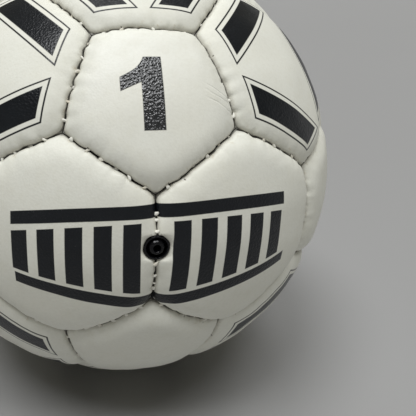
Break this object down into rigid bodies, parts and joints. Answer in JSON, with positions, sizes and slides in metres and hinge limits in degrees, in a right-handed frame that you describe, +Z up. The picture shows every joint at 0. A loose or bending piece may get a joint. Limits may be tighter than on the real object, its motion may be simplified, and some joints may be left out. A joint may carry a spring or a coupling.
{
  "type": "handball",
  "caption": "Sewn ball of pentagon and hexagon panels with folded seams over foam linings and an air bladder, with a rubber needle valve in one seam.",
  "frame": {"origin": "centre of the ball", "axes": "+Z up, -Y out through the valve, whose seam stands upright"},
  "size_m": [0.1608, 0.1606, 0.161],
  "materials": {
    "cover": "satin coated cloth with fine grain and black print",
    "lining": "foam on woven cloth",
    "thread": "waxed white thread",
    "bladder": "matt black rubber",
    "valve": "glossy black rubber"
  },
  "bodies": {
    "root": {"pentagon_panel_01": "cover", "pentagon_panel_02": "cover", "pentagon_panel_03": "cover", "pentagon_panel_04": "cover", "pentagon_panel_05": "cover", "pentagon_panel_06": "cover", "pentagon_panel_07": "cover", "pentagon_panel_08": "cover", "pentagon_panel_09": "cover", "pentagon_panel_10": "cover", "pentagon_panel_11": "cover", "pentagon_panel_12": "cover", "hexagon_panel_01": "cover", "hexagon_panel_02": "cover", "hexagon_panel_03": "cover", "hexagon_panel_04": "cover", "hexagon_panel_05": "cover", "hexagon_panel_06": "cover", "hexagon_panel_07": "cover", "hexagon_panel_08": "cover", "hexagon_panel_09": "cover", "hexagon_panel_10": "cover", "hexagon_panel_11": "cover", "hexagon_panel_12": "cover", "hexagon_panel_13": "cover", "hexagon_panel_14": "cover", "hexagon_panel_15": "cover", "hexagon_panel_16": "cover", "hexagon_panel_17": "cover", "hexagon_panel_18": "cover", "valve_panel_left": "cover", "valve_panel_right": "cover", "pentagon_linings": "lining", "hexagon_linings": "lining", "valve_linings": "lining", "pentagon_stitching_01": "thread", "pentagon_stitching_02": "thread", "pentagon_stitching_03": "thread", "pentagon_stitching_04": "thread", "pentagon_stitching_05": "thread", "pentagon_stitching_06": "thread", "pentagon_stitching_07": "thread", "pentagon_stitching_08": "thread", "pentagon_stitching_09": "thread", "pentagon_stitching_10": "thread", "pentagon_stitching_11": "thread", "pentagon_stitching_12": "thread", "hexagon_stitching": "thread", "bladder": "bladder", "valve_housing": "valve", "valve_plug": "valve"}
  },
  "joints": []
}
